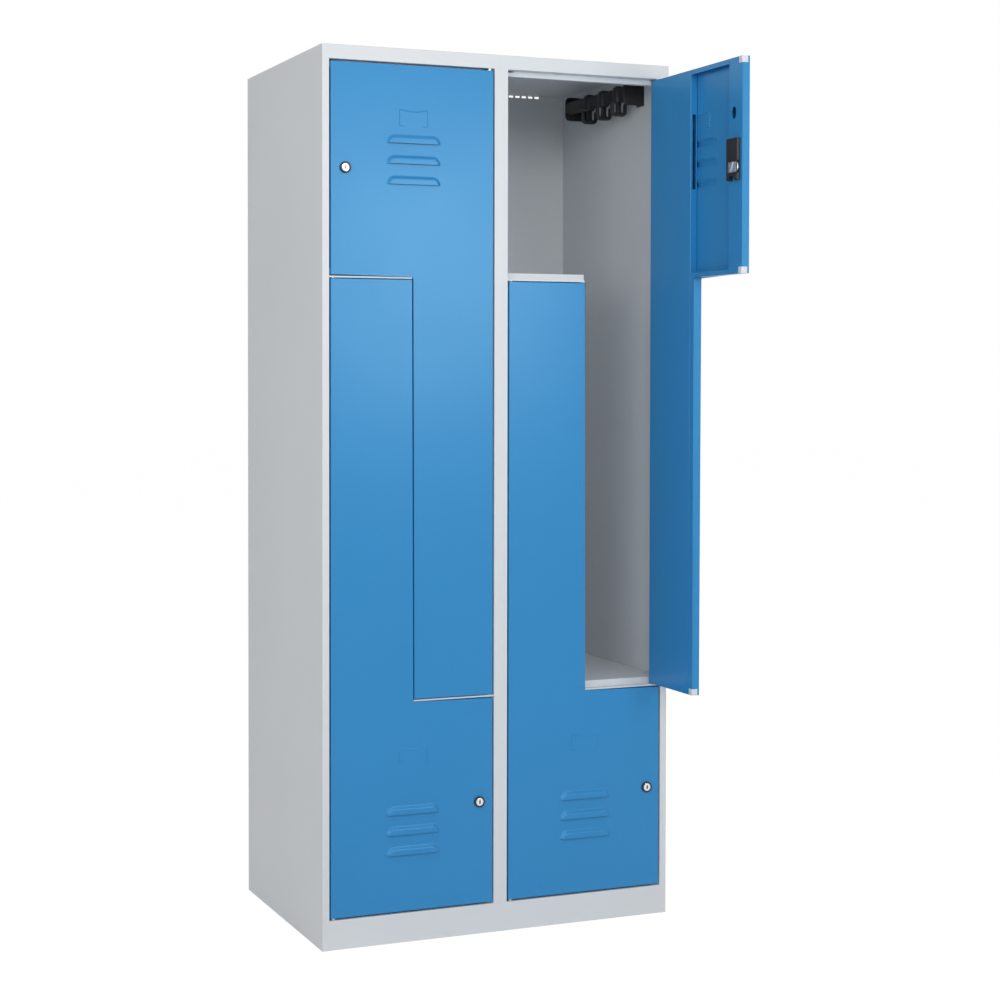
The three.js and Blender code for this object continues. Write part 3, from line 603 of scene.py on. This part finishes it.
def round_bar(radius, axis, start, end, centre, sides=32):
    """Plain cylinder along Y or Z in the door's frame."""
    bm = bmesh.new()
    place = {"Y": lambda a, b, depth: (centre[0] + a, depth, centre[1] + b),
             "Z": lambda a, b, depth: (centre[0] + a, centre[1] + b, depth)}[axis]
    turned(bm, [(radius, start), (radius, end)], sides, place)
    return mesh_of(bm, "bar")


def louvre_dome(edge, up, inset, front, base, foot_inset):
    """Half-round hood with a soft S-shaped slope, closed, flat along its open edge. The air
    inside it is inset, and goes a little past that edge, so that the louvre is open there."""
    width, height, band, proud = 122 * MM, 18.3 * MM, 8.8 * MM, 5.5 * MM
    shear = 0.1 * MM
    slope_steps, corner_steps = 8, 8
    reach = width / 2 - height
    below = -shear if inset else 0
    levels = [(foot_inset, base)]
    for i in range(slope_steps + 1):
        t = i / slope_steps
        levels.append((inset + band * t, front - proud * (3 * t * t - 2 * t ** 3)))
    bm = bmesh.new()
    rings = []
    for margin, depth in levels:
        radius = height - margin
        outline = [(MIDDLE + reach + radius, below)]
        outline += arc((MIDDLE + reach, 0), radius, 0, 90, corner_steps)[1:]
        outline += arc((MIDDLE - reach, 0), radius, 90, 180, corner_steps)[:-1]
        outline += [(MIDDLE - reach - radius, below)]
        rings.append([bm.verts.new((a, depth, edge + up * b)) for a, b in outline])
    bm.faces.new(rings[0])
    bm.faces.new(rings[-1])
    bridge(bm, rings)
    return mesh_of(bm, "louvre")


LOUVRE_ROW = row_tree("row_of_louvres", "Z")


def pressed_line(points, depth, radius):
    """Bead pressed along a line, as a round bar that is half sunk in the skin."""
    bar_steps = 3
    path = bpy.data.curves.new("bead", "CURVE")
    path.dimensions = "3D"
    path.bevel_depth = radius
    path.bevel_resolution = bar_steps
    path.use_fill_caps = True
    spline = path.splines.new("POLY")
    spline.points.add(len(points) - 1)
    for point, (a, b) in zip(spline.points, points):
        point.co = (a, depth, b, 1)
    mesh = finished_mesh(bpy.data.objects.new("bead", path), "bead")
    bm = bmesh.new()
    bm.from_mesh(mesh)
    bmesh.ops.remove_doubles(bm, verts=bm.verts, dist=NEAR)
    return mesh_of(bm, "bead")


def card_holder(centre, up):
    """Pressed outline of the card holder: two brackets with a sagging line between their tops."""
    width, height, tab, sag, slope = 62 * MM, 33 * MM, 9 * MM, 3 * MM, 6 * MM
    left, right = MIDDLE - width / 2, MIDDLE + width / 2
    top, bottom = centre + up * height / 2, centre - up * height / 2
    low_line = top - up * sag
    return [(left + tab, bottom), (left, bottom), (left, top), (left + tab, top),
            (left + tab + slope, low_line), (right - tab - slope, low_line),
            (right - tab, top), (right, top), (right, bottom), (right - tab, bottom)]


def flat_faced(mesh, name):
    """Smooth shading in which large flat faces stay flat up to the foot of a bend or a louvre."""
    sharp_angle, face_weight = 30, 100
    blank = bpy.data.objects.new(name, smooth(mesh, sharp_angle))
    scene.collection.objects.link(blank)
    shading = blank.modifiers.new("shading", "WEIGHTED_NORMAL")
    shading.keep_sharp = True
    shading.weight = face_weight
    return finished_mesh(blank, name)


# Each corner of a door that is free of the frame: (x, z), and which way the door lies from it.
CORNERS = [(LOCK_EDGE, 0, -1, 1), (LOCK_EDGE, HEAD_END, -1, -1), (LEG_EDGE, LEG_END, -1, -1)]
CAP_LEG_X, CAP_LEG_Z, CAP_SETBACK, CAP_WALL = 12.5 * MM, 13.5 * MM, 4.5 * MM, 0.9 * MM


def corner_wall(x, z, toward_x, toward_z, leg_x, leg_z, thickness):
    """Outline of the bent strip that lies along a corner's two edges."""
    places = [(0, 0), (leg_x, 0), (leg_x, thickness),
              (thickness, thickness), (thickness, leg_z), (0, leg_z)]
    return [(x + toward_x * a, z + toward_z * b) for a, b in places]


def door_skin(door):
    """Skin in the door's own frame, with its folds, louvres, card holder and holes. The folds
    are notched at the free corners, where the caps go."""
    upside_down = DOORS[door][0]
    up = -1 if upside_down else 1
    bend, outer_steps, inner_steps = 1.6 * MM, 6, 4
    lip, leg_lip, channel_edge = 10 * MM, 13 * MM, 306.5 * MM
    over = 6 * MM
    first_louvre = 160.8 * MM if upside_down else 118.6 * MM
    louvre_count, louvre_pitch = 3, 42.1 * MM
    card = 108.5 * MM if upside_down else 324 * MM
    nose_radius, pin_radius = 9.9 * MM, 2.8 * MM
    bead, bead_proud = 1.3 * MM, 0.95 * MM

    blank = folded_blank(0, FACE, BACK, bend, outer_steps)
    hollow = folded_blank(SHEET, FACE + SHEET, BACK - SHEET, bend - SHEET, inner_steps)
    shell = cut(blank, hollow, "DIFFERENCE")
    leg_open = LEG_EDGE - leg_lip
    back_opening = [
        (HINGE_EDGE + SHEET, SHEET), (leg_open, SHEET), (leg_open, lip),
        (channel_edge, lip), (channel_edge, SHEET), (LOCK_EDGE - SHEET, SHEET),
        (LOCK_EDGE - SHEET, HEAD_END - SHEET), (channel_edge, HEAD_END - SHEET),
        (channel_edge, HEAD_END - lip), (leg_open, HEAD_END - lip), (leg_open, LEG_END - SHEET),
        (HINGE_EDGE + SHEET, LEG_END - SHEET),
    ]
    shell = cut(shell, slab(back_opening, BACK - SHEET - over / 2, BACK + over), "DIFFERENCE")
    nose_hole = round_bar(nose_radius, "Y", FACE - over, FACE + SHEET + over, (LOCK_X, LOCK_Z))
    shell = cut(shell, nose_hole, "DIFFERENCE")
    pins = joined([round_bar(pin_radius, "Z", start, start + 2 * over, (0, 0))
                   for start in (-over, LEG_END - over)], "pin_holes")
    shell = cut(shell, pins, "DIFFERENCE")

    hood = louvre_dome(first_louvre, up, 0, FACE, FACE + SHEET / 2, 0)
    air = louvre_dome(first_louvre, up, SHEET, FACE + SHEET, FACE + 3 * SHEET, SHEET)
    for solid, operation in ((hood, "UNION"), (air, "DIFFERENCE")):
        row = in_a_row(solid, "louvres", LOUVRE_ROW, louvre_count, louvre_pitch, sky_blue_powder)
        shell = cut(shell, row, operation)
    outline = card_holder(card, up)
    for depth, operation in ((FACE, "UNION"), (FACE + SHEET, "DIFFERENCE")):
        shell = cut(shell, pressed_line(outline, depth + bead - bead_proud, bead), operation)

    for x, z, toward_x, toward_z in CORNERS:
        notch = corner_wall(x - toward_x * over, z - toward_z * over, toward_x, toward_z,
                            CAP_LEG_X + over, CAP_LEG_Z + over, CAP_WALL + over)
        shell = cut(shell, slab(notch, FACE + CAP_SETBACK, BACK + over), "DIFFERENCE")

    shell.transform(door_place(door))
    return flat_faced(shell, f"{door}_skin")


for door in DOORS:
    pans = [f"{door}_head_pan", f"{door}_leg_pan"]
    mesh_piece(f"{door}_skin", door, sky_blue_powder, door_skin(door), pans)


# Stiffeners: a box section behind each hinge edge and a channel behind each lock edge, of the same
# steel. They are spot-welded to the skin and get their blue powder with it.

for door in DOORS:
    for section in ("hinge_stiffener", "lock_stiffener"):
        dress(f"{door}_{section}", sky_blue_powder)


# Corner caps: small clips of pale grey polyethylene, pushed into the notched corners of each
# door. They make the edge and the back safe to touch, and leave the front of the door clean.

pale_polyethylene = moulded_plastic("moulded_polyethylene_pale_grey", "#D9DCE2", "#D2D6DD", 0.45)


def corner_cap(x, z, toward_x, toward_z):
    """Cap flush with the two edges at a corner, with a wall behind the door's back lip."""
    edge, edge_steps, overshoot = 0.5 * MM, 3, 2
    reach = [(0, 0), (CAP_LEG_X, 0), (CAP_LEG_X, CAP_LEG_Z), (0, CAP_LEG_Z)]
    outline = [(x + toward_x * a, z + toward_z * b) for a, b in reach]
    block = rounded(slab(outline, FACE + CAP_SETBACK, BACK + CAP_WALL, "cap"), "cap", edge, edge_steps)
    inside = [(x + toward_x * (CAP_WALL + a * overshoot), z + toward_z * (CAP_WALL + b * overshoot))
              for a, b in reach]
    return cut(block, slab(inside, FACE, BACK), "DIFFERENCE", "cap")


TURNED_ANGLE = 35

for door in DOORS:
    for number, corner in enumerate(CORNERS, 1):
        cap = corner_cap(*corner)
        cap.transform(door_place(door))
        mesh_piece(f"{door}_corner_cap_{number}", door, pale_polyethylene,
                   smooth(cap, TURNED_ANGLE))


# Locks: a black case behind the door with a round nose through to its front, a nickel-plated
# barrel with a key slot, and a chromed bolt that the turning barrel pushes out.

def plated_metal(name, colour, shade, roughness):
    """Bright plated steel: smooth, with the faint streaks of its polishing, drawn coarser."""
    streak_scale = 1 / (2 * MM)
    streak_height, streak_strength = 0.01 * MM, 0.4
    smoother, rougher = 0.04, 0.06
    material, tree, place = new_material(name)
    streaks = add_node(tree, "ShaderNodeTexNoise", {"Vector": place, "Scale": streak_scale, "Detail": 3})
    tint = blended(tree, streaks.outputs["Fac"], colour, shade)
    polish = add_node(tree, "ShaderNodeMapRange", {
        "Value": streaks.outputs["Fac"],
        "To Min": roughness - smoother, "To Max": roughness + rougher,
    })
    bump = add_node(tree, "ShaderNodeBump", {
        "Height": streaks.outputs["Fac"], "Distance": streak_height, "Strength": streak_strength,
    })
    shader = add_node(tree, "ShaderNodeBsdfPrincipled", {
        "Base Color": tint,
        "Roughness": polish.outputs[0],
        "Normal": bump.outputs[0],
        "Metallic": 1.0,
    })
    return finish_material(material, tree, shader)


nickel = plated_metal("nickel_plated_zinc_alloy", "#E2E3E4", "#D6D8DA", 0.24)
chrome = plated_metal("chromed_steel", "#ECEEF0", "#E0E2E5", 0.3)
NOSE_END = FACE - 4.4 * MM
BARREL_FACE = NOSE_END + 0.1 * MM
BARREL_SIDES = 48
SLOT_HALF_WIDTH, SLOT_HALF_LENGTH, SLOT_DEPTH = 1.8 * MM, 5.4 * MM, 3 * MM


def on_lock_axis(a, b, depth):
    """Places a point of a turned piece about the axis of the lock."""
    return (LOCK_X + a, depth, LOCK_Z + b)


def lock_collar():
    """Round black trim of the nose, over the case's own nose."""
    base, crown, bore = 11.6 * MM, 9.9 * MM, 8.5 * MM
    lift, rim, shoulder, dome = 0.1 * MM, 0.9 * MM, 0.4 * MM, 0.6 * MM
    bore_edge, bore_rise, bore_start, bore_reach = 0.3 * MM, 0.2 * MM, 0.1 * MM, 2 * MM
    profile = [(base, FACE - lift), (base, FACE - rim)]
    for angle in (0, 30, 60, 90):
        turn = math.radians(angle)
        profile.append((crown + (base - crown) * math.cos(turn),
                        NOSE_END + shoulder - dome * math.sin(turn)))
    profile += [(bore + bore_edge, NOSE_END - bore_rise), (bore, NOSE_END + bore_start),
                (bore, FACE + bore_reach)]
    bm = bmesh.new()
    rings = turned_rings(bm, profile, BARREL_SIDES, on_lock_axis)
    bridge(bm, rings + rings[:1])
    return mesh_of(bm, "collar", TURNED_ANGLE)


def key_slot(half_width, half_length, front, back):
    """Upright slot with bowed sides and pointed ends, as a solid."""
    steps = 6
    side = [(half_width * (1 - (i / steps) ** 2), half_length * i / steps) for i in range(-steps, steps)]
    outline = [(LOCK_X + a, LOCK_Z + b) for a, b in side] + [(LOCK_X - a, LOCK_Z - b) for a, b in side]
    return slab(outline, front, back, "key_slot")


def lock_barrel():
    """Barrel with its pointed key slot, and the crank disc with its eccentric pin behind."""
    radius, edge, bulge = 8.25 * MM, 0.6 * MM, 0.18 * MM
    disc_radius, disc_front, disc_back = 13.4 * MM, 12.8 * MM, 14.5 * MM
    pin_radius, pin_back, pin_sunk, pin_sides, throw = 2 * MM, 16.5 * MM, 0.1 * MM, 20, 7 * MM
    over = 2 * MM
    face = BARREL_FACE
    bm = bmesh.new()
    turned(bm, [(radius - edge, face), (radius - bulge, face + bulge), (radius, face + edge),
                (radius, disc_front), (disc_radius, disc_front), (disc_radius, disc_back)],
           BARREL_SIDES, on_lock_axis)
    turned(bm, [(pin_radius, disc_back - pin_sunk), (pin_radius, pin_back)], pin_sides,
           lambda a, b, depth: on_lock_axis(a - throw, b + throw, depth))
    slot = key_slot(SLOT_HALF_WIDTH, SLOT_HALF_LENGTH, face - over, face + SLOT_DEPTH)
    return smooth(cut(mesh_of(bm, "barrel"), slot, "DIFFERENCE", "barrel"), TURNED_ANGLE)


def keyway_shade_plug():
    """Black plug a little way inside the shallow key slot: painted shade, standing in for the dark depth
    of a keyway.
    """
    ease, setback = 0.05 * MM, 0.3 * MM
    return key_slot(SLOT_HALF_WIDTH - ease, SLOT_HALF_LENGTH - 2 * ease,
                    BARREL_FACE + setback, BARREL_FACE + SLOT_DEPTH - ease)


def lock_bolt():
    """Flat bolt with a round end, two raised lands on its back, and a blind slot for the crank pin."""
    left, right, low, high = 312.5 * MM, 348.5 * MM, 207.5 * MM, 232.5 * MM
    front, land_foot, back = 14.8 * MM, 16.9 * MM, 17.8 * MM
    end_radius, end_steps, rim, groove = 16.5 * MM, 12, 1.0 * MM, 2.2 * MM
    diagonal_low, diagonal_high = 335 * MM, 324 * MM
    slot_left, slot_right, slot_low, slot_high = 316 * MM, 321 * MM, 219.5 * MM, 227.4 * MM
    slot_floor, over, land_sunk = 0.3 * MM, 1 * MM, 0.2 * MM
    land_edge, land_steps, plate_edge, plate_steps = 0.6 * MM, 3, 0.4 * MM, 2

    def round_end(inset):
        reach = (high - low) / 2 - inset
        radius = end_radius - inset
        swing = math.degrees(math.asin(reach / radius))
        return arc((right - end_radius, (low + high) / 2), radius, -swing, swing, end_steps)

    plate = slab([(left, low)] + round_end(0) + [(left, high)], front, land_foot, "bolt")
    pin_slot = [(slot_left, slot_low), (slot_right, slot_low),
                (slot_right, slot_high), (slot_left, slot_high)]
    plate = cut(plate, slab(pin_slot, front - over, land_foot - slot_floor), "DIFFERENCE", "bolt")
    outer = [(diagonal_low + groove / 2, low + rim)] + round_end(rim)
    outer += [(diagonal_high + groove / 2, high - rim)]
    inner = [(left + rim, low + rim), (diagonal_low - groove / 2, low + rim),
             (diagonal_high - groove / 2, high - rim), (left + rim, high - rim)]
    lands = [rounded(slab(outline, land_foot - land_sunk, back, "land"), "land", land_edge, land_steps)
             for outline in (outer, inner)]
    return joined([rounded(plate, "bolt", plate_edge, plate_steps), *lands], "bolt")


for door in DOORS:
    dress(f"{door}_lock_case", black_polyamide)
    for piece, body, slot, material, mesh, replaced in (
        ("lock_collar", door, "black_plastic", black_polyamide, lock_collar(), []),
        ("lock_cylinder", f"{door}_barrel", "bright_steel", nickel, lock_barrel(), ["lock_barrel"]),
        # The black plug in the key slot is painted shade for the dark depth of a keyway.
        ("keyway_shade_plug", f"{door}_barrel", "black_plastic", black_polyamide, keyway_shade_plug(), []),
        ("chromed_bolt", f"{door}_bolt", "bright_steel", chrome, lock_bolt(), ["lock_bolt"]),
    ):
        mesh.transform(door_place(door))
        mesh_piece(f"{door}_{piece}", body, material, mesh,
                   [f"{door}_{node}" for node in replaced])


# Hinge pins: turned mild steel, zinc-plated. Each goes through an end of a door, between two
# collars, into the rail or into the thick lip of a shelf.

zinc = plated_metal("zinc_plated_steel", "#BFC2C4", "#AEB1B4", 0.32)
for door in DOORS:
    for end in ("lower", "upper"):
        dress(f"{door}_{end}_hinge_pin", zinc)


# Studio: a pale floor under the locker, a white surround, and large soft lamps.

def seen_or_mirrored(tree):
    """1 for rays from the camera, through glass or off a gloss, and 0 for rays that light."""
    path = add_node(tree, "ShaderNodeLightPath")
    seen = add_node(tree, "ShaderNodeMath", {
        0: path.outputs["Is Camera Ray"], 1: path.outputs["Is Transmission Ray"],
    }, operation="MAXIMUM")
    mirrored = add_node(tree, "ShaderNodeMath", {
        0: seen.outputs[0], 1: path.outputs["Is Glossy Ray"],
    }, operation="MAXIMUM")
    return mirrored.outputs[0]


def white_surround():
    """World that lights evenly, and shows white behind the object and in its reflections."""
    ambient, white = 0.27, 1.0
    world = bpy.data.worlds.new("white_studio")
    scene.world = world
    world.use_nodes = True
    tree = world.node_tree
    tree.nodes.clear()
    strength = add_node(tree, "ShaderNodeMapRange", {
        "Value": seen_or_mirrored(tree), "To Min": ambient, "To Max": white,
    })
    light = add_node(tree, "ShaderNodeBackground", {
        "Color": linear("#FFFFFF"), "Strength": strength.outputs[0],
    })
    add_node(tree, "ShaderNodeOutputWorld", {"Surface": light.outputs[0]})


def soft_lamp(name, place, aim, width, height, power):
    """Rectangular lamp at a place, aimed at a point. Metres and watts."""
    lamp = bpy.data.lights.new(name, "AREA")
    lamp.shape = "RECTANGLE"
    lamp.size, lamp.size_y = width, height
    lamp.energy = power
    holder = bpy.data.objects.new(name, lamp)
    scene.collection.objects.link(holder)
    holder.location = place
    holder.rotation_euler = (Vector(aim) - Vector(place)).to_track_quat("-Z", "Y").to_euler()


def pale_floor():
    """Large floor that shows nearly white, and keeps a trace of the object's shadow."""
    half_size, glow_strength, glow_share = 30, 1.08, 0.9
    mesh = bpy.data.meshes.new("studio_floor")
    corners = [(-half_size, -half_size, 0), (half_size, -half_size, 0),
               (half_size, half_size, 0), (-half_size, half_size, 0)]
    mesh.from_pydata(corners, [], [(0, 1, 2, 3)])
    floor = bpy.data.objects.new("studio_floor", mesh)
    scene.collection.objects.link(floor)
    material, tree, _ = new_material("white_floor")
    diffuse = add_node(tree, "ShaderNodeBsdfDiffuse", {"Color": linear("#F4F4F4")})
    glow = add_node(tree, "ShaderNodeEmission", {"Color": linear("#FFFFFF"), "Strength": glow_strength})
    lift = add_node(tree, "ShaderNodeMath", {
        0: seen_or_mirrored(tree), 1: glow_share,
    }, operation="MULTIPLY")
    mixed = add_node(tree, "ShaderNodeMixShader", {
        0: lift.outputs[0], 1: diffuse.outputs[0], 2: glow.outputs[0],
    })
    finish_material(material, tree, mixed)
    mesh.materials.append(material)


white_surround()
pale_floor()
soft_lamp("key_front", (1.05, -3.0, 1.62), (-0.1, 0, 1.4), 0.9, 0.9, 19)
soft_lamp("key_above", (0.4, -2.4, 3.3), (0, 0, 0.9), 2.4, 1.0, 14)
soft_lamp("fill_front", (-0.6, -3.2, 2.4), (0, 0, 1.1), 1.4, 1.0, 26)
soft_lamp("fill_left", (-2.6, -2.6, 1.7), (0.2, 0, 1.2), 1.6, 1.6, 27)
soft_lamp("rim_left", (-3.0, -0.6, 2.6), (-0.4, 0.2, 1.3), 1.2, 1.2, 13)
soft_lamp("fill_back", (1.4, 3.4, 2.4), (0, 0.4, 1.0), 1.6, 1.6, 24)


# Camera: at chest height, to the left of the locker, almost level. The lens shift frames the
# object as the photograph does and keeps its upright edges parallel to within a few pixels.

def photo_camera():
    """Camera of the photograph, with its angles in degrees."""
    level, pitch, turn = 90, 1.355, -20.96
    camera = bpy.data.cameras.new("photo_camera")
    camera.sensor_width = 36
    camera.lens = 67.74
    camera.shift_x = 0.1399
    camera.shift_y = -0.08
    holder = bpy.data.objects.new("photo_camera", camera)
    scene.collection.objects.link(holder)
    holder.location = (-1.6934, -3.6659, 1.1787)
    holder.rotation_euler = (math.radians(level - pitch), 0, math.radians(turn))
    scene.camera = holder


photo_camera()
scene.view_settings.view_transform = "Standard"
